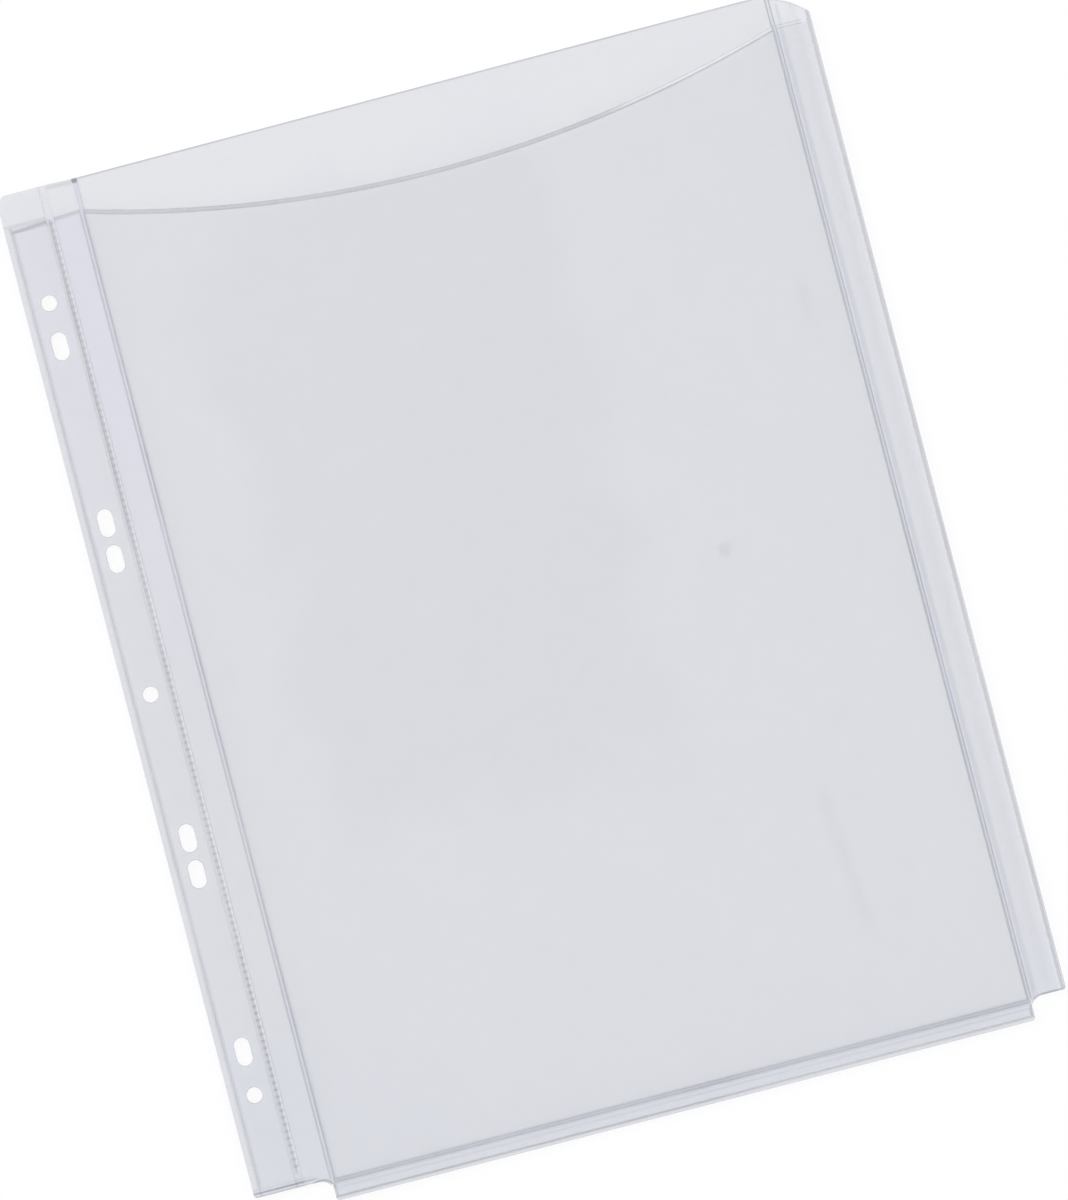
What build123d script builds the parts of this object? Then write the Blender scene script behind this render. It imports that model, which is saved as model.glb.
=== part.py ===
"""Expanding punched pocket of clear film, lying on its back with its mouth towards +Y.

Two films are welded round a binding strip, along a dotted spine line and along the right and bottom
edges. Creases in both films let the gusset leaves unfold, so the front panel rises off the back one.
Lengths are in millimetres. The origin is under the middle of the whole outline.
"""
import os
from math import asin, atan2, cos, degrees, hypot, sin, sqrt

from build123d import *

os.makedirs("parts", exist_ok=True)

# Film and outline
film = 0.2
sheet_width = 210.0
pocket_height = 303.9
strip_margin = 7.6
hole_to_spine = 6.4
spine_to_crease = 9.7
right_flap = 11.3
bottom_flap = 6.1
gusset_rise = 2.6

# Mouth and corners
shoulder_drop = 9.8
mouth_sag = 15.2
hem_width = 1.2
hem_height = 0.2
strip_corner_radius = 3.0
weld_corner_radius = 1.0
notch_radius = 4.2
trim_radius = 25.0
trim_drop = 8.3

# Creases and folds
bead_width = 1.05
bead_height = 0.25
crease_clearance = 0.12
fold_clearance = 0.1
flap_overlap = 0.4

# Welds
edge_weld_width = 2.2
foot_weld_width = 1.35
head_weld_width = 1.9
spine_weld_width = 2.0
right_weld_width = 1.2
bottom_weld_width = 1.4
weld_thinning = 0.05
ridge_width = 0.5
ridge_height = 0.14
dot_size = 0.7
dot_pitch = 2.1
dot_depth = 0.12
dots_foot_margin = 4.5

# Punched holes, as distances along the strip from the middle of the pattern
hole_diameter = 4.6
slot_length = 8.3
pattern_below_top = 154.0
outer_hole = 120.0
middle_hole = 1.2
hole_to_slot = 13.1
far_slot = 53.2
slot_pitch = 10.9
outer_slot = outer_hole - hole_to_slot
near_slot = far_slot - slot_pitch

# Places across the pocket
width = strip_margin + hole_to_spine + spine_to_crease + sheet_width + right_flap
left_edge = -width / 2
hole_x = left_edge + strip_margin
spine_x = hole_x + hole_to_spine
left_crease = spine_x + spine_to_crease
right_crease = left_crease + sheet_width
right_edge = width / 2
strip_fold = spine_x - spine_weld_width / 2 - fold_clearance
left_fold = spine_x + spine_weld_width / 2 + fold_clearance
right_fold = right_edge - right_weld_width - fold_clearance
panel_left = left_crease + bead_width / 2
panel_right = right_crease - bead_width / 2
panel_middle = (left_crease + right_crease) / 2

# Places along the pocket
height = bottom_flap + pocket_height
bottom_edge = -height / 2
top_edge = height / 2
bottom_crease = bottom_edge + bottom_flap
bottom_fold = bottom_edge + bottom_weld_width + fold_clearance
panel_foot = bottom_crease + bead_width / 2
strip_foot = panel_foot
shoulder = top_edge - shoulder_drop
pattern_y = top_edge - pattern_below_top

# Heights: the middles of the two films and the plane where they are welded
back_level = film / 2
seam_level = film + gusset_rise
front_level = 2 * seam_level - back_level

# True lengths of the sloping leaves, from crease to fold
left_run = left_crease - left_fold
right_run = right_fold - right_crease
bottom_run = bottom_crease - bottom_fold
left_leaf_length = hypot(left_run, gusset_rise)
right_leaf_length = hypot(right_run, gusset_rise)
bottom_leaf_length = hypot(bottom_run, gusset_rise)
leaf_start = bead_width / 2 + crease_clearance

# Right flap laid flat, as a distance from the right crease
flat_flap = right_leaf_length + fold_clearance + right_weld_width
trim_run = sqrt(2 * trim_radius * trim_drop - trim_drop**2)

LEFT, RIGHT, FOOTWARD, UP = Vector(-1, 0, 0), Vector(1, 0, 0), Vector(0, -1, 0), Vector(0, 0, 1)


def save(piece, label):
    """Name a finished piece and write it."""
    piece.part.label = label
    export_step(piece.part, f"parts/{label}.step")


def section_plane(start, across):
    """Plane square to a bead or weld, with its own Y upwards; the piece runs along across x up."""
    return Plane(origin=start, x_dir=across, z_dir=across.cross(UP))


def leaf_plane(crease, outward, run, climb):
    """Plane of a sloping leaf, with its X from the crease to the fold."""
    slope = (outward * run + UP * climb).normalized()
    along = RIGHT if outward == FOOTWARD else Vector(0, 1, 0)
    return Plane(origin=crease, x_dir=slope, z_dir=slope.cross(along))


def box_sketch(low_x, high_x, low_y, high_y):
    """Rectangle between two corners, in the sketch that is open."""
    with Locations(((low_x + high_x) / 2, (low_y + high_y) / 2)):
        Rectangle(high_x - low_x, high_y - low_y)


def trimmed_corner():
    """Back film's outline at its cut top right corner, in distances from the right crease."""
    half_turn = atan2(trim_run, trim_radius - trim_drop) / 2
    start = (flat_flap - trim_run, top_edge)
    middle = (start[0] + trim_radius * sin(half_turn), top_edge - trim_radius * (1 - cos(half_turn)))
    end = (flat_flap, top_edge - trim_drop)
    with BuildSketch() as outline:
        with BuildLine():
            ThreePointArc(start, middle, end)
            Polyline(end, (flat_flap, bottom_edge), (-sheet_width, bottom_edge),
                     (-sheet_width, top_edge), start)
        make_face()
    return outline.sketch


def punch_holes():
    """Round ring holes and long slots, cut from the sketch of a strip layer that is open."""
    rounds = (outer_hole, middle_hole, -outer_hole)
    slots = (outer_slot, far_slot, near_slot, -near_slot, -far_slot, -outer_slot)
    with Locations(*[(hole_x, pattern_y + place) for place in rounds]):
        Circle(hole_diameter / 2, mode=Mode.SUBTRACT)
    with Locations(*[(hole_x, pattern_y + place) for place in slots]):
        SlotOverall(slot_length, hole_diameter, rotation=90, mode=Mode.SUBTRACT)


def bead_section():
    """Face of a pressed crease: the film's thickness with a low round bead on top."""
    side, face = bead_width / 2, film / 2
    with BuildLine() as section:
        Polyline((side, face), (side, -face), (-side, -face), (-side, face))
        ThreePointArc((-side, face), (0, face + bead_height), (side, face))
    make_face(section.edges())


def hem_section(edge):
    """Face of the pressed hem, from the film's cut edge inwards."""
    inner, face = edge + hem_width, film / 2
    with BuildLine() as section:
        Polyline((edge, face), (edge, -face), (inner, -face), (inner, face))
        ThreePointArc((inner, face), ((edge + inner) / 2, face + hem_height), (edge, face))
    make_face(section.edges())


def weld_section(weld_width):
    """Face of a weld, from its inner ridge to its outer edge."""
    face = film - weld_thinning
    with BuildLine() as section:
        Polyline((ridge_width, face), (weld_width, face), (weld_width, -face), (0, -face), (0, face))
        ThreePointArc((0, face), (ridge_width / 2, film + ridge_height), (ridge_width, face))
    make_face(section.edges())


def crease(start, across, length):
    """Pressed bead of one film, from its start along across x up."""
    with BuildPart() as bead:
        with BuildSketch(section_plane(start, across)):
            bead_section()
        extrude(amount=length)
    return bead


def side_leaf(plane, leaf_length, top, trimmed=False):
    """Gusset leaf beside the pocket, with its tail round the notch at the foot."""
    end = leaf_length - fold_clearance
    center = (notch_radius, strip_foot - notch_radius)
    tip_angle = atan2(sqrt(notch_radius**2 - (notch_radius - leaf_start) ** 2), leaf_start - notch_radius)
    half_angle = (atan2(1, 0) + tip_angle) / 2
    tip, middle = [
        (center[0] + notch_radius * cos(angle), center[1] + notch_radius * sin(angle))
        for angle in (tip_angle, half_angle)
    ]
    with BuildPart() as leaf:
        with BuildSketch(plane):
            with BuildLine():
                Polyline(tip, (leaf_start, top), (end, top), (end, strip_foot), (notch_radius, strip_foot))
                ThreePointArc((notch_radius, strip_foot), middle, tip)
            make_face()
            if trimmed:
                add(trimmed_corner(), mode=Mode.INTERSECT)
        extrude(amount=film / 2, both=True)
    return leaf


def bottom_leaf(plane):
    """Gusset leaf under the pocket, between the two side creases."""
    with BuildPart() as leaf:
        with BuildSketch(plane):
            box_sketch(leaf_start, bottom_leaf_length - fold_clearance,
                       left_crease - flap_overlap, right_crease + flap_overlap)
        extrude(amount=film / 2, both=True)
    return leaf


def leaf_hem(plane, leaf_length):
    """Pressed hem at the head of a front leaf, raised on the outer face."""
    outer = plane.z_dir if plane.z_dir.Z > 0 else -plane.z_dir
    start = plane.origin + plane.x_dir * leaf_start + Vector(0, shoulder, 0)
    section = Plane(origin=start, x_dir=FOOTWARD, z_dir=FOOTWARD.cross(outer))
    length = leaf_length - fold_clearance - leaf_start
    with BuildPart() as hem:
        with BuildSketch(section):
            hem_section(0)
        extrude(amount=length * section.z_dir.dot(plane.x_dir))
    return hem


# Back film
with BuildPart() as back_panel:
    with BuildSketch():
        box_sketch(panel_left, panel_right, panel_foot, top_edge)
        with Locations((right_crease, 0)):
            add(trimmed_corner(), mode=Mode.INTERSECT)
    extrude(amount=film)
save(back_panel, "back_panel")

back_left_crease = crease((left_crease, top_edge, back_level), RIGHT, top_edge - panel_foot)
save(back_left_crease, "back_left_crease")

with BuildPart() as back_right_crease:
    with BuildSketch(section_plane((right_crease, top_edge, back_level), RIGHT)):
        bead_section()
    extrude(amount=top_edge - panel_foot)
    with BuildSketch():
        with Locations((right_crease, 0)):
            add(trimmed_corner())
    extrude(amount=film + bead_height, mode=Mode.INTERSECT)
save(back_right_crease, "back_right_crease")

back_bottom_crease = crease((right_crease + bead_width / 2, bottom_crease, back_level), FOOTWARD,
                            sheet_width + bead_width)
save(back_bottom_crease, "back_bottom_crease")

left_back_plane = leaf_plane((left_crease, 0, back_level), LEFT, left_run, gusset_rise)
left_back_leaf = side_leaf(left_back_plane, left_leaf_length, top_edge)
save(left_back_leaf, "left_back_leaf")

right_back_plane = leaf_plane((right_crease, 0, back_level), RIGHT, right_run, gusset_rise)
right_back_leaf = side_leaf(right_back_plane, right_leaf_length, top_edge, trimmed=True)
save(right_back_leaf, "right_back_leaf")

bottom_back_leaf = bottom_leaf(leaf_plane((0, bottom_crease, back_level), FOOTWARD, bottom_run, gusset_rise))
save(bottom_back_leaf, "bottom_back_leaf")

# Front film
half_chord = sheet_width / 2
half_panel = half_chord - bead_width / 2
mouth_radius = (half_chord**2 + mouth_sag**2) / (2 * mouth_sag)
mouth_center = Vector(panel_middle, shoulder - mouth_sag + mouth_radius, front_level)
hem_inner_radius = mouth_radius + hem_width
hem_half_angle = asin(half_panel / hem_inner_radius)
panel_head = mouth_center.Y - hem_inner_radius * cos(hem_half_angle)

with BuildPart() as front_panel:
    with BuildSketch(Plane.XY.offset(front_level - film / 2)):
        with BuildLine():
            ThreePointArc((panel_left, panel_head), (panel_middle, mouth_center.Y - hem_inner_radius),
                          (panel_right, panel_head))
            Polyline((panel_left, panel_head), (panel_left, panel_foot), (panel_right, panel_foot),
                     (panel_right, panel_head))
        make_face()
    extrude(amount=film)
save(front_panel, "front_panel")

with BuildPart() as mouth_hem:
    hem_start = Vector(-sin(hem_half_angle), -cos(hem_half_angle), 0)
    with BuildSketch(section_plane(mouth_center, hem_start)):
        hem_section(mouth_radius)
    revolve(axis=Axis(mouth_center, UP), revolution_arc=degrees(2 * hem_half_angle))
save(mouth_hem, "mouth_hem")

for side, crease_x in (("left", left_crease), ("right", right_crease)):
    front_crease = crease((crease_x, shoulder, front_level), RIGHT, shoulder - panel_foot)
    save(front_crease, f"front_{side}_crease")

front_bottom_crease = crease((right_crease + bead_width / 2, bottom_crease, front_level), FOOTWARD,
                             sheet_width + bead_width)
save(front_bottom_crease, "front_bottom_crease")

left_front_plane = leaf_plane((left_crease, 0, front_level), LEFT, left_run, -gusset_rise)
right_front_plane = leaf_plane((right_crease, 0, front_level), RIGHT, right_run, -gusset_rise)
for side, plane, leaf_length in (
    ("left", left_front_plane, left_leaf_length),
    ("right", right_front_plane, right_leaf_length),
):
    front_leaf = side_leaf(plane, leaf_length, shoulder - hem_width)
    save(front_leaf, f"{side}_front_leaf")
    save(leaf_hem(plane, leaf_length), f"{side}_mouth_hem")

bottom_front_plane = leaf_plane((0, bottom_crease, front_level), FOOTWARD, bottom_run, -gusset_rise)
bottom_front_leaf = bottom_leaf(bottom_front_plane)
save(bottom_front_leaf, "bottom_front_leaf")

# Binding strip
strip_right = strip_fold - fold_clearance
strip_left = left_edge + edge_weld_width
layer_foot = strip_foot + foot_weld_width

with BuildPart() as strip_back_layer:
    with BuildSketch(Plane.XY.offset(seam_level - film)) as layer:
        box_sketch(strip_left, strip_right, layer_foot, shoulder)
        box_sketch(left_edge, strip_right, shoulder, top_edge)
        corner = layer.vertices().group_by(Axis.Y)[-1].sort_by(Axis.X)[0]
        fillet(corner, strip_corner_radius)
        punch_holes()
    extrude(amount=film)
save(strip_back_layer, "strip_back_layer")

with BuildPart() as strip_front_layer:
    with BuildSketch(Plane.XY.offset(seam_level)):
        box_sketch(strip_left, strip_right, layer_foot, shoulder - head_weld_width)
        punch_holes()
    extrude(amount=film)
save(strip_front_layer, "strip_front_layer")

with BuildPart() as strip_edge_weld:
    with BuildSketch(section_plane((strip_left, strip_foot, seam_level), LEFT)):
        weld_section(edge_weld_width)
    extrude(amount=shoulder - strip_foot)
    foot_corner = strip_edge_weld.edges().filter_by(Axis.Z).group_by(Axis.X)[0].sort_by(Axis.Y)[0]
    fillet(foot_corner, weld_corner_radius)
save(strip_edge_weld, "strip_edge_weld")

with BuildPart() as strip_foot_weld:
    with BuildSketch(section_plane((strip_right, layer_foot, seam_level), FOOTWARD)):
        weld_section(foot_weld_width)
    extrude(amount=strip_right - strip_left)
save(strip_foot_weld, "strip_foot_weld")

with BuildPart() as strip_head_weld:
    with BuildSketch(Plane.XY.offset(seam_level)):
        box_sketch(strip_left, strip_right, shoulder - head_weld_width, shoulder)
    extrude(amount=film + ridge_height)
    head_rims = strip_head_weld.faces().sort_by(Axis.Z)[-1].edges().filter_by(Axis.X)
    fillet(head_rims, ridge_height)
save(strip_head_weld, "strip_head_weld")

# Dotted spine weld: both films below the shoulder, the back film alone above it
spine_left = spine_x - spine_weld_width / 2
spine_right = spine_x + spine_weld_width / 2
dots_foot = strip_foot + dots_foot_margin
dot_count = int((shoulder - dots_foot) / dot_pitch)

with BuildPart() as spine_weld:
    with BuildSketch(Plane.XY.offset(seam_level - film)):
        box_sketch(spine_left, spine_right, strip_foot, top_edge)
    extrude(amount=film)
    with BuildSketch(Plane.XY.offset(seam_level)):
        box_sketch(spine_left, spine_right, strip_foot, shoulder)
    extrude(amount=film)
    with BuildSketch(Plane.XY.offset(seam_level + film)):
        with Locations((spine_x, (dots_foot + shoulder) / 2)):
            with GridLocations(dot_pitch, dot_pitch, 1, dot_count):
                Rectangle(dot_size, dot_size, rotation=45)
    extrude(amount=-dot_depth, mode=Mode.SUBTRACT)
save(spine_weld, "spine_weld")

# Outer edge welds
with BuildPart() as right_edge_weld:
    weld_top = top_edge - trim_drop
    with BuildSketch(section_plane((right_fold + fold_clearance, weld_top, seam_level), RIGHT)):
        weld_section(right_weld_width)
    extrude(amount=weld_top - strip_foot)
    outer_corners = right_edge_weld.edges().filter_by(Axis.Z).group_by(Axis.X)[-1]
    fillet(outer_corners, weld_corner_radius)
save(right_edge_weld, "right_edge_weld")

with BuildPart() as bottom_edge_weld:
    weld_right = right_crease + flap_overlap
    with BuildSketch(section_plane((weld_right, bottom_fold - fold_clearance, seam_level), FOOTWARD)):
        weld_section(bottom_weld_width)
    extrude(amount=sheet_width + 2 * flap_overlap)
    lower_corners = bottom_edge_weld.edges().filter_by(Axis.Z).group_by(Axis.Y)[0]
    fillet(lower_corners, weld_corner_radius)
save(bottom_edge_weld, "bottom_edge_weld")
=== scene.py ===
"""Looks of a clear expanding pocket for a ring binder.

Two embossed films are pressed into creases, folded into side and bottom gussets, and welded together
along the punched strip, the dotted spine, the right edge and the bottom edge.
"""

from functools import cached_property, reduce
from math import ceil, pi, radians, sqrt, tan
from operator import or_

import bpy
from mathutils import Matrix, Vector


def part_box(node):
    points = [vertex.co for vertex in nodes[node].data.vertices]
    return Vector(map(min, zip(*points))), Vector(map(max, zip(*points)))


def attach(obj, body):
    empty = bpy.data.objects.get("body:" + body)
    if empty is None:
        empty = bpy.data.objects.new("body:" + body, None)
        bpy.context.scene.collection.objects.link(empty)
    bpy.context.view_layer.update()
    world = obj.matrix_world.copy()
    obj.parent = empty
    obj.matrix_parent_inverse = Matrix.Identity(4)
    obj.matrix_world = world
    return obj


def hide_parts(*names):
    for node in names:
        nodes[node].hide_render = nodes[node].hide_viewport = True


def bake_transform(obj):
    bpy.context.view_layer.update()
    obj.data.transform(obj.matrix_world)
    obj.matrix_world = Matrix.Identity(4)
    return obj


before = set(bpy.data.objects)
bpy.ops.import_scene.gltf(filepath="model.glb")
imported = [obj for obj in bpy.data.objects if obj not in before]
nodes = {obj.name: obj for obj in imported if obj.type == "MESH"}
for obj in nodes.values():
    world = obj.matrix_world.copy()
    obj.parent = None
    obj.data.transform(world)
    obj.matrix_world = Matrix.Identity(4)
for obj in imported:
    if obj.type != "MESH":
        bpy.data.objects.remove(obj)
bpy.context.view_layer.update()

# All sizes are in mm, as in the CAD model, and are turned into metres where a mesh is made.
MM = 0.001
FILM = 0.2
BEAD_WIDTH = 1.05
BEAD_HEIGHT = 0.25
LEAF_START = 0.645
LEFT_CREASE, RIGHT_CREASE, BOTTOM_CREASE = -98.8, 111.2, -148.9
PANEL_FOOT = BOTTOM_CREASE + BEAD_WIDTH / 2
BACK_LEVEL, FRONT_LEVEL = 0.1, 5.5
SHOULDER, TOP = 145.2, 155.0
LEFT_SLOPE, RIGHT_SLOPE, BOTTOM_SLOPE = radians(16.82), radians(14.57), radians(29.48)
MOUTH_MIDDLE, MOUTH_RADIUS = 6.2, 370.27
MOUTH_CENTER = SHOULDER - 15.2 + MOUTH_RADIUS
HEM_WIDTH = 1.2
SPINE = -108.5
DOT_PITCH, DOT_PLACE = 2.1, 0.6625
STRIP_EDGE, STRIP_LEFT, STRIP_FOOT = -122.5, -120.3, -148.375
RIGHT_EDGE, BOTTOM_EDGE = 122.5, -155.0
TRIM_RADIUS, TRIM_X, TRIM_Y = 25.0, 103.9, 130.0
HOLE_LINE, PATTERN_MIDDLE = -114.9, 1.0
HOLE_RADIUS = 2.3
SLOT_STRAIGHT = 8.3 - 4.6
ROUND_HOLES = (120, 1.2, -120)
SLOTS = (106.9, 53.2, 42.3, -42.3, -53.2, -106.9)
STRIP_TOP = 3.0
LIP = 0.07
DOTS_END = -143.6
NOTCH_RADIUS, NOTCH_LEVEL = 4.45, -152.575
LEFT_NOTCH, RIGHT_NOTCH = -102.82, 115.27
LEAF_WAVE, LEAF_SINK = 0.2, 0.5
# A film is fully slack at this distance from its held edges, and a leaf, which is narrow, that much sooner.
SLACK_REACH, LEAF_GAIN = 22, 4
# Gap under a film that lies on another.
PARTING = 0.02


def metres(*place):
    return tuple(size * MM for size in place)


class Tone:
    """A number, colour or vector of a finish. Operators on it add Math nodes."""

    def __init__(self, finish, socket):
        self.finish = finish
        self.socket = socket

    def math(self, operation, first, second=0.0):
        return self.finish.node("ShaderNodeMath", {"operation": operation}, {0: first, 1: second})

    def __add__(self, other):
        return self.math("ADD", self, other)

    def __radd__(self, other):
        return self.math("ADD", other, self)

    def __sub__(self, other):
        return self.math("SUBTRACT", self, other)

    def __rsub__(self, other):
        return self.math("SUBTRACT", other, self)

    def __mul__(self, other):
        return self.math("MULTIPLY", self, other)

    def __rmul__(self, other):
        return self.math("MULTIPLY", other, self)

    def __truediv__(self, other):
        return self.math("DIVIDE", self, other)

    def __mod__(self, other):
        return self.math("FLOORED_MODULO", self, other)

    def __or__(self, other):
        return self.math("MAXIMUM", self, other)

    def __abs__(self):
        return self.math("ABSOLUTE", self)


class Finish:
    """The nodes of one material, or of the studio's sky."""

    def __init__(self, owner):
        owner.use_nodes = True
        self.owner = owner
        self.tree = owner.node_tree
        self.tree.nodes.clear()

    def node(self, kind, settings=None, sockets=None, output=0):
        node = self.tree.nodes.new(kind)
        for name, value in (settings or {}).items():
            setattr(node, name, value)
        for name, value in (sockets or {}).items():
            if isinstance(value, Tone):
                self.tree.links.new(value.socket, node.inputs[name])
            else:
                node.inputs[name].default_value = value
        return Tone(self, node.outputs[output]) if node.outputs else None

    @cached_property
    def point(self):
        return self.node("ShaderNodeTexCoord", output="Object")

    @cached_property
    def x(self):
        """Place across the pocket, in mm."""
        return self.node("ShaderNodeSeparateXYZ", None, {0: self.point}, "X") / MM

    @cached_property
    def y(self):
        """Place up the pocket, in mm."""
        return self.node("ShaderNodeSeparateXYZ", None, {0: self.point}, "Y") / MM

    @cached_property
    def haze(self):
        """Soft unevenness of the film, about 0.5."""
        return self.noise(HAZE_SCALE)

    def reach(self, x, y):
        """Distance in plan from a spot, in mm."""
        flat = self.node("ShaderNodeCombineXYZ", None, {"X": self.x, "Y": self.y})
        return self.node("ShaderNodeVectorMath", {"operation": "DISTANCE"}, {0: flat, 1: (x, y, 0)}, "Value")

    def fade(self, value, start, end):
        """1 up to start, easing to 0 at end. Where end is below start, it is 1 from start upwards."""
        return self.node(
            "ShaderNodeMapRange", {"interpolation_type": "SMOOTHSTEP"},
            {0: value, 1: start, 2: end, 3: 1.0, 4: 0.0},
        )

    def lines(self, across, *lines):
        """Soft lines along a seam. Each has an offset, a full width and a depth."""
        return reduce(or_, (
            self.fade(abs(across - offset), 0.0, width / 2) * depth for offset, width, depth in lines
        ))

    def noise(self, scale, detail=2.0, roughness=0.5):
        return self.node(
            "ShaderNodeTexNoise", None,
            {"Vector": self.point, "Scale": scale, "Detail": detail, "Roughness": roughness},
        )

    def mix(self, first, second, share):
        return self.node("ShaderNodeMix", {"data_type": "RGBA"}, {0: share, 6: first, 7: second}, 2)

    def backdrop_seen(self):
        """1 where the backdrop is seen by the camera, in gloss or through a clear piece."""
        rays = ("Is Camera Ray", "Is Glossy Ray", "Is Transmission Ray")
        return reduce(or_, (self.node("ShaderNodeLightPath", output=ray) for ray in rays))


def rgb(red, green, blue):
    return (red, green, blue, 1.0)


# Scales of the film's unevenness, in waves per metre.
GRAIN_SCALE, MOTTLE_SCALE, HAZE_SCALE = 1000.0, 260.0, 26.0
EMBOSS_DEPTH = 0.00004
GLOSS = 0.34
# How much more each side of a film hides on a painted dark line of shade and on a painted glint, and how much
# less on a single film.
LINE_COVER, GLINT_COVER, SINGLE_SHARE = 0.09, 0.1, 0.2

CLEAR = rgb(0.55, 0.559, 0.627)
PALE = rgb(0.617, 0.623, 0.679)
WELDED = rgb(0.68, 0.685, 0.735)
# Colour of the painted shade on the films' dark lines.
SHADE = rgb(0.20, 0.218, 0.28)
LILAC = rgb(0.62, 0.61, 0.86)
BLUISH = rgb(0.47, 0.55, 0.725)
# Colour of the painted highlights on the films' glints.
WHITE = rgb(0.97, 0.97, 1.0)


def film_finish(name, cover, shade=None, tinge=None, gleam=None, single=None, clear=CLEAR):
    """Embossed clear film. cover is how much of what lies under it the film hides.

    shade and gleam give masks of its painted shade, the dark lines where its creases, hems, welds and edges
    bend the light, and of its painted highlights, the pale glints. tinge gives two masks, of its lilac tint
    and of its blue tint. single gives a mask of where a weld has one film instead of two."""
    film = Finish(bpy.data.materials.new(name))
    grain = film.noise(GRAIN_SCALE, detail=1.0, roughness=0.6)
    mottle = film.noise(MOTTLE_SCALE, detail=1.0, roughness=0.7)
    clouds = film.fade(film.haze, 0.62, 0.38) * 0.3 + (1.0 - darker_upper_middle(film)) * 0.55 + (mottle - 0.5) * 0.5
    colour = film.mix(clear, PALE, clouds + (grain - 0.5) * 1.5)
    one_side = 1.0 - sqrt(1.0 - cover)
    alpha = one_side * (0.93 + 0.14 * film.haze)
    if single:
        alpha = alpha * (1.0 - SINGLE_SHARE * single(film))
    if tinge:
        violet, blue = tinge(film)
        colour = film.mix(film.mix(colour, LILAC, violet), BLUISH, blue)
    # Painted shade: the dark lines take the shade colour and hide more of what lies under them.
    if shade:
        mark = shade(film) * (0.5 + film.haze)
        colour = film.mix(colour, SHADE, mark)
        alpha = alpha + mark * LINE_COVER
    # Painted highlights: the glints take a pale colour.
    if gleam:
        glint = gleam(film)
        colour = film.mix(colour, WHITE, glint * 0.9)
        alpha = alpha + glint * GLINT_COVER
    emboss = film.node("ShaderNodeBump", None, {"Strength": 0.1, "Distance": EMBOSS_DEPTH, "Height": grain})
    surface = film.node(
        "ShaderNodeBsdfPrincipled", None,
        {"Base Color": colour, "Roughness": GLOSS + (grain - 0.5) * 0.12, "Alpha": alpha, "Normal": emboss,
         "IOR": 1.49},
    )
    film.node("ShaderNodeOutputMaterial", None, {"Surface": surface})
    return film.owner


def darker_upper_middle(film):
    """The upper middle of the pocket, where the films are a little darker."""
    wobble = (film.haze - 0.5) * 50.0
    across = film.fade(abs(film.x + 20.0) + wobble, 42.0, 62.0)
    return across * film.fade(abs(film.y - 42.0) + wobble, 80.0, 104.0)


def wrinkle_shade_and_smudges(film):
    """Painted shade of a faint slanting wrinkle, and two soft darker smudges, in the front panel."""
    along = film.y + 96.0
    wrinkle = film.lines(film.x - 70.0 + along * 0.09, (0.0, 8.0, 0.19)) * film.fade(abs(along), 18.0, 27.0)
    middle = film.fade(film.reach(58.7, 0.8), 0.8, 3.4) * 0.38
    beside = film.lines(film.x - 100.0, (0.0, 7.0, 0.24)) * film.fade(abs(film.y - 65.0), 3.0, 11.0)
    return wrinkle | middle | beside


def above_shoulder(film):
    return film.fade(film.y, SHOULDER, SHOULDER - 0.5)


def beside_foot(film):
    return film.fade(film.y, BOTTOM_CREASE + 0.5, BOTTOM_CREASE - 0.5)


def between_sides(film):
    return film.fade(film.x, LEFT_CREASE + 0.5, LEFT_CREASE - 1.0) * film.fade(
        film.x, RIGHT_CREASE - 0.5, RIGHT_CREASE + 1.0
    )


def front_creases(film):
    """Painted shade: soft dark lines along the flanks of the front's creases, with a fainter one beside each.
    """
    left = film.lines(film.x - LEFT_CREASE, (-0.45, 1.0, 0.88), (0.7, 1.1, 1.08), (1.5, 1.6, 0.25))
    right = film.lines(film.x - RIGHT_CREASE, (-0.35, 1.1, 1.3), (0.6, 1.0, 0.95), (1.5, 1.5, 0.5))
    bottom = film.lines(film.y - BOTTOM_CREASE, (0.3, 1.1, 1.2), (-0.6, 2.4, 0.65), (-2.3, 1.6, 0.35))
    return (left | right) * beside_foot(film) | bottom * between_sides(film)


def blue_beside_creases(film):
    left = film.lines(film.x - LEFT_CREASE, (0.4, 5.0, 0.4))
    right = film.lines(film.x - RIGHT_CREASE, (1.0, 5.0, 0.4))
    return left | right | film.lines(film.y - BOTTOM_CREASE, (-1.6, 8.0, 0.4))


def blue_foot(film):
    """Blue tint of the film along its foot, which reaches further up on the left."""
    height = film.y - BOTTOM_CREASE - 35.0 * film.fade(film.x, -100.0, -45.0)
    return film.fade(height, 0.0, 28.0) * 0.26


def foot_tints(film):
    return 0.0, blue_foot(film)


def crease_tints(film):
    return 0.0, blue_beside_creases(film)


def back_creases(film):
    """Painted shade of the back's creases, which show softly through the front, and of the right one sharply
    above the mouth.
    """
    left = film.lines(film.x - LEFT_CREASE, (0.1, 3.2, 0.26)) * (
        0.4 + 0.6 * film.fade(film.y, SHOULDER + 1.0, SHOULDER - 1.0)
    )
    right = film.lines(film.x - RIGHT_CREASE, (0.0, 2.4, 0.22))
    fine = film.lines(film.x - RIGHT_CREASE, (-0.5, 0.8, 0.85), (0.5, 0.8, 0.8))
    bottom = film.lines(film.y - BOTTOM_CREASE, (-0.2, 2.6, 0.25))
    right = right | fine * film.fade(film.y, SHOULDER + 1.0, SHOULDER - 1.0)
    return (left | right) * beside_foot(film) | bottom * between_sides(film)


def panel_top(film):
    """Painted shade along the back's top edge, and the dark spot where the left crease meets it."""
    edge = film.lines(film.y - TOP, (-0.2, 1.1, 0.7))
    return edge * film.fade(film.x, LEFT_CREASE, LEFT_CREASE - 1.0) | crease_top_spot(film)


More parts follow.
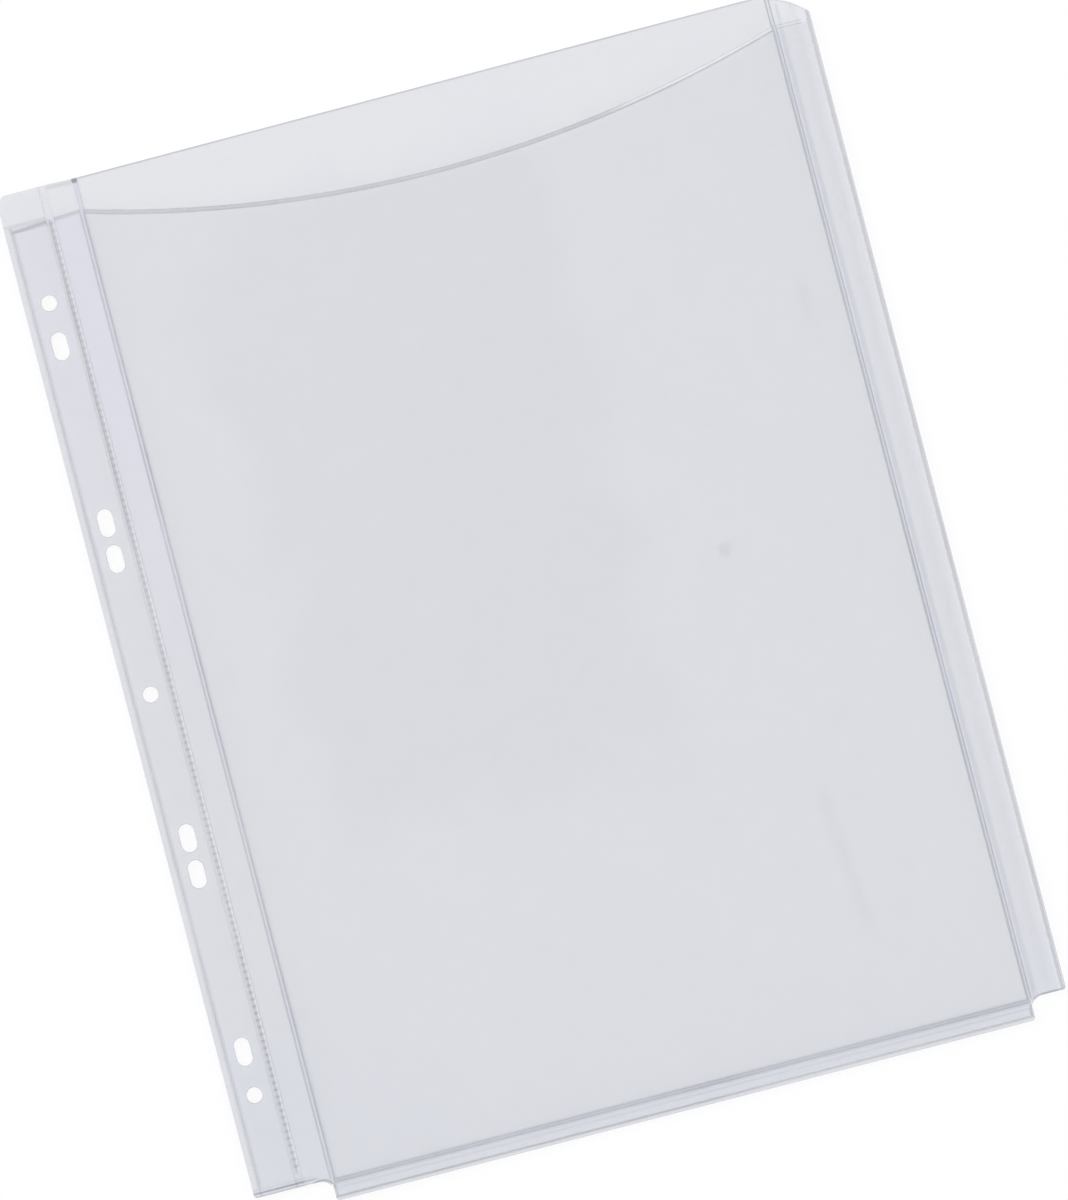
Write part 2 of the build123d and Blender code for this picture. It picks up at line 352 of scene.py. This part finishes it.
def crease_top_spot(film):
    return film.fade(film.reach(LEFT_CREASE - 0.15, TOP - 0.6), 0.45, 1.1) * 3.0


# Painted shade of the back panel's creases and top edge, with the dark spot.
def back_panel_marks(film):
    return back_creases(film) | panel_top(film)


# Painted shade of the back gussets' creases, top edge, trimming arc and notch edges, with the dark spot.
def back_gusset_marks(film):
    top = film.lines(film.y - TOP, (-0.9, 2.4, 0.42)) * film.fade(film.x, LEFT_CREASE - 1.0, LEFT_CREASE)
    trim = film.lines(film.reach(TRIM_X, TRIM_Y) - TRIM_RADIUS, (-0.2, 1.0, 0.35))
    trim = trim * film.fade(film.y, TRIM_Y + 8, TRIM_Y + 5)
    return back_creases(film) | top | crease_top_spot(film) | trim | notch_edges(film)


def notch_edges(film):
    """Painted shade along the edges of the foot's two rounded notches, of the right gusset's foot and of the
    bottom gusset's ends.
    """
    left = film.lines(film.reach(LEFT_NOTCH, NOTCH_LEVEL), (NOTCH_RADIUS, 1.1, 1.2))
    left = left * film.fade(film.x, LEFT_CREASE - 0.2, LEFT_CREASE + 0.8)
    right = film.lines(film.reach(RIGHT_NOTCH, NOTCH_LEVEL), (NOTCH_RADIUS, 1.1, 0.75))
    right = right * film.fade(film.x, RIGHT_CREASE - 0.7, RIGHT_CREASE - 1.7)
    foot = film.lines(film.y - STRIP_FOOT, (0.3, 1.1, 1.0))
    foot = foot * film.fade(film.x, RIGHT_CREASE + 4.3, RIGHT_CREASE + 3.3)
    left_end = film.lines(film.x - LEFT_CREASE, (-0.2, 1.0, 0.3))
    ends = left_end | film.lines(film.x - RIGHT_CREASE, (0.2, 1.0, 0.3))
    return left | right | foot | ends * film.fade(film.y, BOTTOM_CREASE - 0.9, BOTTOM_CREASE - 0.4)


def strip_foot_line(film):
    """Painted shade: line of the strip's foot weld, which runs on over the left gusset and fades out there.
    """
    line = film.lines(film.y - STRIP_FOOT, (1.25, 1.1, 1.4), (2.2, 1.4, 0.4), (0.3, 0.7, 0.8))
    return line * film.fade(film.x, LEFT_CREASE - 5.6, LEFT_CREASE - 3.0)


# Painted shade along the left gusset's hem.
def gusset_hem_line(film):
    line = film.lines(film.y - SHOULDER, (-0.5, 2.8, 0.95))
    return line * film.fade(film.x, LEFT_CREASE - 1.0, LEFT_CREASE + 1.0)


def gusset_hem_marks(film):
    """Painted shade: a broad line on the left gusset's hem, and two fine ones on the right gusset's."""
    fine = film.lines(film.y - SHOULDER, (-1.1, 0.8, 0.9), (-0.15, 0.7, 0.8))
    return gusset_hem_line(film) | fine * film.fade(film.x, RIGHT_CREASE + 1.0, RIGHT_CREASE)


def gusset_hem_glints(film):
    right_end = film.fade(film.reach(RIGHT_EDGE - 2.2, SHOULDER - 0.6), 0.5, 1.5)
    line = film.lines(film.y - SHOULDER, (-0.65, 0.6, 0.5))
    return line * film.fade(film.x, RIGHT_CREASE + 2.8, RIGHT_CREASE + 0.8) | right_end


# Painted shade of the front gussets' creases, foot weld line, hem and notch edges.
def front_gusset_marks(film):
    return front_creases(film) | strip_foot_line(film) | gusset_hem_line(film) | notch_edges(film)


def front_gusset_glints(film):
    beside_weld = film.lines(film.x - RIGHT_EDGE, (-1.9, 1.4, 0.8))
    crossing = film.fade(film.reach(RIGHT_CREASE + 0.7, BOTTOM_CREASE - 0.5), 0.4, 1.2)
    return beside_weld | crossing


def lilac_upper_left(film):
    """Lilac tint of the left gusset, and a fainter one of the punched strip, stronger towards the top."""
    beside = film.fade(film.x, LEFT_CREASE - 0.8, LEFT_CREASE + 3.0)
    below = film.fade(film.y, SHOULDER, SHOULDER + 1.0)
    depth = 0.12 + 0.24 * film.fade(film.x, SPINE + 1.0, SPINE - 1.0)
    return beside * below * film.fade(film.y, 110.0, -70.0) * depth


def strip_tints(film):
    return lilac_upper_left(film), blue_foot(film)


def gusset_tints(film):
    lilac_right = film.fade(film.x, RIGHT_CREASE + 3.0, RIGHT_CREASE + 1.0) * 0.14
    return lilac_upper_left(film) | lilac_right, blue_beside_creases(film) | blue_foot(film)


def below_mouth(film):
    return film.reach(MOUTH_MIDDLE, MOUTH_CENTER) - MOUTH_RADIUS


def hem_marks(film):
    """Painted shade: two soft lines along the pressed hem of the mouth.
    Towards the left, it is grey between them too.
    """
    below = below_mouth(film)
    pressed = film.fade(film.x, 50.0, 72.0)
    upper = film.lines(below, (0.1, 1.0, 1.3)) * (0.55 + 0.45 * pressed)
    return upper | film.lines(below, (1.15, 1.1, 1.4)) | film.lines(below, (0.6, 2.2, 1.0)) * pressed


def hem_glints(film):
    return film.lines(below_mouth(film), (0.5, 0.9, 1.3)) * film.fade(film.x, 74.0, 54.0)


# Painted shade of the front panel's creases, its wrinkle and smudges, and the hem's lower line.
def front_panel_marks(film):
    return front_creases(film) | wrinkle_shade_and_smudges(film) | film.lines(below_mouth(film), (1.15, 1.1, 1.4))


def head_marks(film):
    """Painted shade: a lower line that climbs towards the spine, and a fainter line along the top."""
    climb = film.y - (SHOULDER - 1.7) - (film.x - STRIP_LEFT) * 0.07
    return film.lines(climb, (0.1, 2.1, 0.9)) | head_top_line(film)


# Painted shade: the fainter line along the top of the strip's head weld.
def head_top_line(film):
    return film.lines(film.y - SHOULDER, (0.4, 1.5, 0.36))


def head_glints(film):
    line = film.lines(film.y - SHOULDER, (-0.6, 0.9, 0.7))
    return line * film.fade(film.x, STRIP_LEFT + 3.3, STRIP_LEFT + 5.3)


def spine_marks(film):
    """The weld's grey band, with painted shade on its darker left edge, which is stronger towards the top,
    and on the dark diamonds of its pressed dots.
    """
    across = film.x - SPINE
    along = abs((film.y - DOT_PLACE + DOT_PITCH / 2) % DOT_PITCH - DOT_PITCH / 2)
    lower = film.fade(film.y, -40.0, 90.0)
    dots = film.fade(along + abs(across) * 0.8, 0.3, 0.95) * (0.58 + 0.05 * lower)
    edges = film.lines(across, (-0.35, 0.8, 0.72), (0.5, 0.8, 0.35)) * (1.0 - 0.5 * lower)
    band = film.lines(across, (0.1, 1.7, 0.32)) | edges
    within = film.fade(film.y, SHOULDER - 1.0, SHOULDER) * film.fade(film.y, DOTS_END, DOTS_END - 1.0)
    return (dots | band) * (0.04 + 0.96 * within) | strip_foot_line(film) * 0.72


def spine_glints(film):
    """Light caught on the right of the spine, broken by its diamonds."""
    between = (film.y - DOT_PLACE) % DOT_PITCH
    dashes = film.fade(abs(between - DOT_PITCH / 2), 0.5, 0.9)
    within = film.fade(film.y, SHOULDER - 1.2, SHOULDER - 0.2) * film.fade(film.y, DOTS_END, DOTS_END - 1.0)
    return film.lines(film.x - SPINE, (0.75, 0.7, 0.5)) * (0.35 + 0.65 * dashes) * within


# Painted shade along the inner side of the punched edge's weld.
def strip_edge_line(film):
    return film.lines(film.x - STRIP_EDGE, (2.35, 2.4, 0.35))


def strip_edge_marks(film):
    return strip_edge_line(film) | strip_foot_line(film) * 0.72


def strip_film_marks(film):
    return strip_edge_line(film) * 1.7 | strip_foot_line(film)


# Painted shade along the inner side of the right weld and across its foot.
def right_edge_marks(film):
    foot = film.lines(film.y - STRIP_FOOT, (0.3, 1.8, 0.5))
    return film.lines(film.x - RIGHT_EDGE, (-0.85, 1.6, 0.35)) | foot


# Painted shade along the inner side of the bottom weld, fainter towards the right.
def bottom_edge_marks(film):
    fainter = 0.55 + 0.45 * film.fade(film.x, 0.0, 30.0)
    return film.lines(film.y - BOTTOM_EDGE, (1.25, 1.2, 0.6)) * fainter


back_film = film_finish("clear back film", 0.49, back_panel_marks, foot_tints)
front_film = film_finish("clear front film", 0.125, front_panel_marks, crease_tints)
back_gusset_film = film_finish("clear back gusset film", 0.48, back_gusset_marks, gusset_tints)
front_gusset_film = film_finish(
    "clear front gusset film", 0.135, front_gusset_marks, gusset_tints, front_gusset_glints
)
strip_back_film = film_finish("clear back strip film", 0.53, head_top_line, strip_tints)
strip_front_film = film_finish("clear front strip film", 0.095, strip_film_marks, strip_tints)
back_crease_film = film_finish("pressed back crease", 0.49, back_gusset_marks, crease_tints)
front_crease_film = film_finish("pressed front crease", 0.125, front_creases, crease_tints)
hem_film = film_finish("pressed mouth hem", 0.15, hem_marks, gleam=hem_glints)
gusset_hem_film = film_finish("pressed gusset hem", 0.15, gusset_hem_marks, gusset_tints, gusset_hem_glints)
head_weld = film_finish("welded strip head", 0.25, head_marks, gleam=head_glints)
spine_weld = film_finish(
    "dotted spine weld", 0.68, spine_marks, gleam=spine_glints, single=above_shoulder, clear=WELDED
)
edge_weld = film_finish("welded punched edge", 0.67, strip_edge_marks, clear=WELDED)
foot_weld = film_finish("welded strip foot", 0.66, strip_edge_marks, clear=WELDED)
right_weld = film_finish("welded right edge", 0.64, right_edge_marks, clear=WELDED)
bottom_weld = film_finish("welded bottom edge", 0.66, bottom_edge_marks, clear=WELDED)
fold_film = film_finish("folded film", 0.48)
flex_film = film_finish(
    "flexing film beside the spine", 0.70, strip_foot_line, single=above_shoulder, clear=WELDED
)
lip_film = film_finish("punched lip", 0.35, clear=PALE)

CAD_FINISHES = {
    "mouth_hem": hem_film,
    "left_mouth_hem": gusset_hem_film,
    "right_mouth_hem": gusset_hem_film,
    "strip_back_layer": strip_back_film,
    "strip_edge_weld": edge_weld,
    "strip_foot_weld": foot_weld,
    "spine_weld": spine_weld,
    "bottom_edge_weld": bottom_weld,
}


def finish_with(piece, material):
    piece.data.materials.clear()
    piece.data.materials.append(material)


def edit(piece):
    bpy.ops.object.select_all(action="DESELECT")
    piece.select_set(True)
    bpy.context.view_layer.objects.active = piece
    bpy.ops.object.mode_set(mode="EDIT")
    bpy.ops.mesh.select_all(action="SELECT")


def leave_edit():
    bpy.ops.object.mode_set(mode="OBJECT")


def select_where(piece, chosen):
    """In edit mode, selects the vertices for which chosen(place) is true."""
    leave_edit()
    for vertex in piece.data.vertices:
        vertex.select = chosen(vertex.co)
    for edge in piece.data.edges:
        edge.select = all(piece.data.vertices[v].select for v in edge.vertices)
    for face in piece.data.polygons:
        face.select = all(piece.data.vertices[v].select for v in face.vertices)
    bpy.ops.object.mode_set(mode="EDIT")


def film_copy(node, name):
    """A merged copy of a CAD node's mesh, left in edit mode."""
    bpy.ops.object.select_all(action="DESELECT")
    film = bpy.data.objects.new(name, nodes[node].data.copy())
    film.data.name = name
    bpy.context.collection.objects.link(film)
    edit(film)
    bpy.ops.mesh.remove_doubles(threshold=1e-6)
    bpy.ops.mesh.dissolve_limited(angle_limit=radians(0.05))
    return film


slack_waves = bpy.data.textures.new("slack waves", type="CLOUDS")
slack_waves.noise_scale = 70 * MM
slack_waves.noise_depth = 1


def slack_film(node, name, pitch, wave, sink, held, material):
    """A film copied from its CAD node, cut into squares and left slightly wavy away from its held edges.

    wave is the full height of the waves, and sink the share of it that lies below the CAD film."""
    film = film_copy(node, name)
    low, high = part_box(node)
    for axis in (0, 1):
        normal = (1 - axis, axis, 0)
        cuts = ceil((high - low)[axis] / (pitch[axis] * MM))
        for cut in range(1, cuts):
            bpy.ops.mesh.select_all(action="SELECT")
            bpy.ops.mesh.bisect(plane_co=low.lerp(high, cut / cuts), plane_no=normal)
    leave_edit()
    group = film.vertex_groups.new(name="slack")
    for vertex in film.data.vertices:
        free = min(max(held(vertex.co / MM), 0.0) / SLACK_REACH, 1.0)
        group.add([vertex.index], free * free * (3 - 2 * free), "REPLACE")
    waves = film.modifiers.new("waves", "DISPLACE")
    waves.texture = slack_waves
    waves.texture_coords = "LOCAL"
    waves.direction = "Z"
    waves.mid_level = sink
    waves.strength = wave * MM
    waves.vertex_group = "slack"
    bpy.ops.object.modifier_apply(modifier="waves")
    film.vertex_groups.clear()
    bpy.ops.object.shade_smooth_by_angle(angle=radians(30))
    finish_with(film, material)
    return film


def inside_panel(place):
    return min(place.x - LEFT_CREASE, RIGHT_CREASE - place.x, place.y - BOTTOM_CREASE) - 0.6


def inside_front_panel(place):
    hem = (place.xy - Vector((MOUTH_MIDDLE, MOUTH_CENTER))).length - MOUTH_RADIUS - HEM_WIDTH
    return min(inside_panel(place), hem)


def inside_leaf(axis, low, high):
    """How far into a leaf a place lies from the nearer of its two held edges, times LEAF_GAIN."""
    return lambda place: min(place[axis] - low, high - place[axis]) * LEAF_GAIN


inside_left_leaf = inside_leaf(0, -107.3, -99.5)
inside_right_leaf = inside_leaf(0, 111.9, 121.1)
inside_bottom_leaf = inside_leaf(1, -153.4, -149.5)
back_sheet = slack_film("back_panel", "back_sheet", (5, 5), 0.4, 0.0, inside_panel, back_film)
front_sheet = slack_film("front_panel", "front_sheet", (5, 5), 0.7, 0.75, inside_front_panel, front_film)
LEAVES = (
    ("left_back_leaf", inside_left_leaf, back_gusset_film, (0.9, 3)),
    ("left_front_leaf", inside_left_leaf, front_gusset_film, (0.9, 3)),
    ("right_back_leaf", inside_right_leaf, back_gusset_film, (0.9, 3)),
    ("right_front_leaf", inside_right_leaf, front_gusset_film, (0.9, 3)),
    ("bottom_back_leaf", inside_bottom_leaf, back_gusset_film, (3, 0.6)),
    ("bottom_front_leaf", inside_bottom_leaf, front_gusset_film, (3, 0.6)),
)
leaves = {
    node: slack_film(node, node.replace("leaf", "gusset_film"), pitch, LEAF_WAVE, LEAF_SINK, held, material)
    for node, held, material, pitch in LEAVES
}


def folded_strip(name, start, end, columns, length, rise, thickness, turn, place, material):
    """A narrow strip of film along Y, from start to end across X, with its columns lifted by rise(x).

    It is then turned about Z, moved to its place and thickened."""
    bpy.ops.object.select_all(action="DESELECT")
    bpy.ops.mesh.primitive_grid_add(x_subdivisions=columns, y_subdivisions=2, size=1)
    strip = bpy.context.object
    strip.name = strip.data.name = name
    edit(strip)
    bpy.ops.transform.resize(value=metres(end - start, length, 1000))
    bpy.ops.transform.translate(value=metres((start + end) / 2, 0, 0))
    for column in range(columns + 1):
        x = start + (end - start) * column / columns
        select_where(strip, lambda co: abs(co.x / MM - x) < 0.005)
        bpy.ops.transform.translate(value=metres(0, 0, rise(x)))
    bpy.ops.mesh.select_all(action="SELECT")
    bpy.ops.transform.rotate(value=-turn, orient_axis="Z", center_override=(0, 0, 0))
    bpy.ops.transform.translate(value=metres(*place))
    leave_edit()
    wall = strip.modifiers.new("wall", "SOLIDIFY")
    wall.thickness = thickness * MM
    wall.offset = 0
    bpy.ops.object.modifier_apply(modifier="wall")
    bpy.ops.object.shade_smooth_by_angle(angle=radians(40))
    finish_with(strip, material)
    return strip


def crease(name, length, slope, turn, place, material):
    """A crease pressed into film: a hollow bead, with the panel on its +X side and the leaf on its -X side.

    The strip ends on the panel's edge and on the leaf's, which leaves the crease line at slope."""
    def rise(x):
        return max(0.0, 1 - (2 * x / BEAD_WIDTH) ** 2) * BEAD_HEIGHT + max(0.0, -x) * tan(slope)

    return folded_strip(name, -LEAF_START, BEAD_WIDTH / 2, 18, length, rise, FILM, turn, place, material)


def side_crease(name, line, level, head, slope, turn, material):
    return crease(name, head - PANEL_FOOT, slope, turn, (line, (PANEL_FOOT + head) / 2, level), material)


def bottom_crease(name, level, slope, material):
    """The bottom crease, which stops a little short on the left, clear of the gusset there when it opens."""
    start, end = LEFT_CREASE - BEAD_WIDTH / 2 + 0.15, RIGHT_CREASE + BEAD_WIDTH / 2
    return crease(name, end - start, slope, pi / 2, ((start + end) / 2, BOTTOM_CREASE, level), material)


back_left = side_crease("back_left_bead", LEFT_CREASE, BACK_LEVEL, TOP, LEFT_SLOPE, 0, back_crease_film)
back_right = side_crease(
    "back_right_bead", RIGHT_CREASE, BACK_LEVEL, 154.1, RIGHT_SLOPE, pi, back_crease_film
)
back_bottom = bottom_crease("back_bottom_bead", BACK_LEVEL, BOTTOM_SLOPE, back_crease_film)
front_left = side_crease(
    "front_left_bead", LEFT_CREASE, FRONT_LEVEL, SHOULDER, -LEFT_SLOPE, 0, front_crease_film
)
front_right = side_crease(
    "front_right_bead", RIGHT_CREASE, FRONT_LEVEL, SHOULDER, -RIGHT_SLOPE, pi, front_crease_film
)
front_bottom = bottom_crease("front_bottom_bead", FRONT_LEVEL, -BOTTOM_SLOPE, front_crease_film)


def fold(name, edge, weld, low, high, thickness=0.18, material=fold_film, upright=True):
    """Film that carries on round a fold, from a leaf's edge to its weld: (across, level) each."""
    (start, start_level), (end, end_level) = sorted((edge, weld))
    slope = (end_level - start_level) / (end - start)
    turn, place = (0, (0, (low + high) / 2, 0)) if upright else (pi / 2, ((low + high) / 2, 0, 0))
    def rise(x):
        return start_level + (x - start) * slope

    strip = folded_strip(name, start, end, 4, high - low, rise, thickness, turn, place, material)
    ends = [
        metres(across, 0, level) if upright else metres(0, across, level) for across, level in (edge, weld)
    ]
    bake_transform(strip)


fold("left_back_fold", (-107.31, 2.667), (-107.53, 2.7), -148.37, 154.95)
fold("left_front_fold", (-107.31, 2.933), (-107.49, 2.9),
     -148.37, 144.0, material=front_gusset_film)
fold("strip_flex_band", (-109.47, 2.8), (-109.73, 2.8), -148.35, 154.95, 0.38, flex_film)
fold("right_back_fold", (121.1, 2.67), (121.33, 2.75), -148.37, 147.9)
fold("right_front_fold", (121.1, 2.93), (121.33, 2.9),
     -148.37, 144.0, material=front_gusset_film)
fold("bottom_back_fold", (-153.43, 2.64), (-153.63, 2.75), -99.1, 111.5,
     upright=False)
fold("bottom_front_fold", (-153.43, 2.96), (-153.63, 2.9), -99.1, 111.5,
     material=front_gusset_film, upright=False)


def right_edge_band():
    """The right weld, carried on at its head up to the arc that trims the top corner."""
    cut, step = 145.6, 0.5
    band = film_copy("right_edge_weld", "right_edge_band")
    bpy.ops.mesh.select_all(action="SELECT")
    bpy.ops.mesh.bisect(plane_co=metres(0, cut, 0), plane_no=(0, 1, 0), use_fill=True, clear_outer=True)
    select_where(band, lambda co: co.y / MM > cut - 0.01)
    bpy.ops.mesh.extrude_region_move(TRANSFORM_OT_translate={"value": metres(0, step, 0)})
    leave_edit()
    columns = sorted({round(v.co.x / MM, 3) for v in band.data.vertices if v.co.y / MM > cut + 0.4})
    bpy.ops.object.mode_set(mode="EDIT")
    for x in columns:
        lift = TRIM_Y + sqrt(TRIM_RADIUS**2 - (x - TRIM_X) ** 2) - cut - step
        select_where(band, lambda co: co.y / MM > cut + 0.4 and abs(co.x / MM - x) < 0.002)
        bpy.ops.transform.translate(value=metres(0, lift, 0))
    leave_edit()
    bpy.ops.object.shade_smooth_by_angle(angle=radians(30))
    finish_with(band, right_weld)
    return band


right_band = right_edge_band()


def laid_on(node, name, material):
    """A film or weld copied from its CAD node, with its underside just off the film that it lies on.

    Two clear faces in one place would show as flecks."""
    upper = film_copy(node, name)
    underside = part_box(node)[0].z
    select_where(upper, lambda co: co.z < underside + 0.01 * MM)
    bpy.ops.transform.translate(value=metres(0, 0, PARTING))
    leave_edit()
    bpy.ops.object.shade_smooth_by_angle(angle=radians(30))
    finish_with(upper, material)
    return upper


strip_cover = laid_on("strip_front_layer", "strip_cover", strip_front_film)
head_band = laid_on("strip_head_weld", "head_band", head_weld)


def punched_lip(name, straight, y):
    """Thin lip that the punch leaves round a hole or slot, on the top face of the strip."""
    segments = 48
    bpy.ops.object.select_all(action="DESELECT")
    bpy.ops.mesh.primitive_torus_add(
        major_segments=segments, minor_segments=8,
        major_radius=(HOLE_RADIUS + LIP) * MM, minor_radius=LIP * MM,
    )
    lip = bpy.context.object
    lip.name = lip.data.name = name
    edit(lip)
    bpy.ops.transform.rotate(value=-pi / segments, orient_axis="Z", center_override=(0, 0, 0))
    for way in (1, -1):
        select_where(lip, lambda co: co.y * way > 0)
        bpy.ops.transform.translate(value=metres(0, way * straight / 2, 0))
    bpy.ops.mesh.select_all(action="SELECT")
    bpy.ops.transform.translate(value=metres(HOLE_LINE, PATTERN_MIDDLE + y, STRIP_TOP))
    leave_edit()
    bpy.ops.object.shade_smooth_by_angle(angle=radians(60))
    finish_with(lip, lip_film)
    return lip


lips = [punched_lip(f"hole_lip_{k}", 0, y) for k, y in enumerate(ROUND_HOLES)]
lips += [punched_lip(f"slot_lip_{k}", SLOT_STRAIGHT, y) for k, y in enumerate(SLOTS)]

for node, material in CAD_FINISHES.items():
    finish_with(nodes[node], material)

STANDING_FOR = (
    (back_sheet, "back_panel", "back", "back_film"),
    (front_sheet, "front_panel", "front", "front_film"),
    (front_right, "front_right_crease", "front", "crease"),
    (front_bottom, "front_bottom_crease", "front", "crease"),
    (right_band, "right_edge_weld", "right_edge", "weld"),
    (strip_cover, "strip_front_layer", "strip", "front_film"),
    (head_band, "strip_head_weld", "strip", "weld"),
    *((leaf, node, node, "front_film" if "front" in node else "back_film") for node, leaf in leaves.items()),
)
for piece, node, body, slot in STANDING_FOR:
    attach(piece, body)
    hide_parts(node)
for lip in lips:
    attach(lip, "strip")

HINGED_CREASES = (
    (back_left, "back_left_crease", "back", "left_back_leaf",
     (LEFT_CREASE, 0, BACK_LEVEL), (-0.62, 0, 0)),
    (back_right, "back_right_crease", "back", "right_back_leaf",
     (RIGHT_CREASE, 0, BACK_LEVEL), (0.62, 0, 0)),
    (back_bottom, "back_bottom_crease", "back", "bottom_back_leaf",
     (0, BOTTOM_CREASE, BACK_LEVEL), (0, -0.56, 0)),
    (front_left, "front_left_crease", "front", "left_front_leaf",
     (LEFT_CREASE, 0, FRONT_LEVEL), (-0.62, 0, 0)),
)
for bead, node, panel, leaf, start, way in HINGED_CREASES:
    metres(*start)
    metres(*(Vector(start) + Vector(way)))
    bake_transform(bead)
    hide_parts(node)

bpy.ops.mesh.primitive_plane_add(size=6, location=metres(0, 0, -0.02))
table = bpy.context.object
table.name = "table"
table_white = Finish(bpy.data.materials.new("white table"))
matt = table_white.node("ShaderNodeBsdfDiffuse", None, {"Color": rgb(0.97, 0.97, 0.97)})
bright = table_white.node("ShaderNodeEmission", None, {"Strength": 1.0})
table_top = table_white.node(
    "ShaderNodeMixShader", None, {0: table_white.backdrop_seen() * 0.85, 1: matt, 2: bright}
)
table_white.node("ShaderNodeOutputMaterial", None, {"Surface": table_top})
finish_with(table, table_white.owner)

bpy.context.scene.world = bpy.data.worlds.new("studio")
sky = Finish(bpy.context.scene.world)
lit = sky.node("ShaderNodeBackground", None, {"Color": rgb(0.97, 0.98, 1.0), "Strength": 0.8})
plain = sky.node("ShaderNodeBackground", None, {"Color": rgb(1.0, 1.0, 1.0), "Strength": 1.0})
backdrop = sky.node("ShaderNodeMixShader", None, {0: sky.backdrop_seen(), 1: lit, 2: plain})
sky.node("ShaderNodeOutputWorld", None, {"Surface": backdrop})


def soft_box(name, place, size, power):
    lamp = bpy.data.lights.new(name, "AREA")
    lamp.size = size
    lamp.energy = power
    box = bpy.data.objects.new(name, lamp)
    box.location = place
    box.rotation_euler = (-Vector(place)).to_track_quat("-Z", "Y").to_euler()
    bpy.context.collection.objects.link(box)


soft_box("window side box", (-0.9, 0.7, 1.5), 1.2, 9)
soft_box("far side box", (1.0, -0.5, 1.4), 1.0, 4)

camera = bpy.data.objects.new("camera", bpy.data.cameras.new("camera"))
camera.data.lens = 184.787
camera.data.sensor_width = 36
camera.location = metres(60.28, -44.4, 1803.96)
camera.rotation_euler = (radians(0.9058), radians(2.1866), radians(-14.6358))
bpy.context.collection.objects.link(camera)
bpy.context.scene.camera = camera
bpy.context.scene.view_settings.view_transform = "Standard"
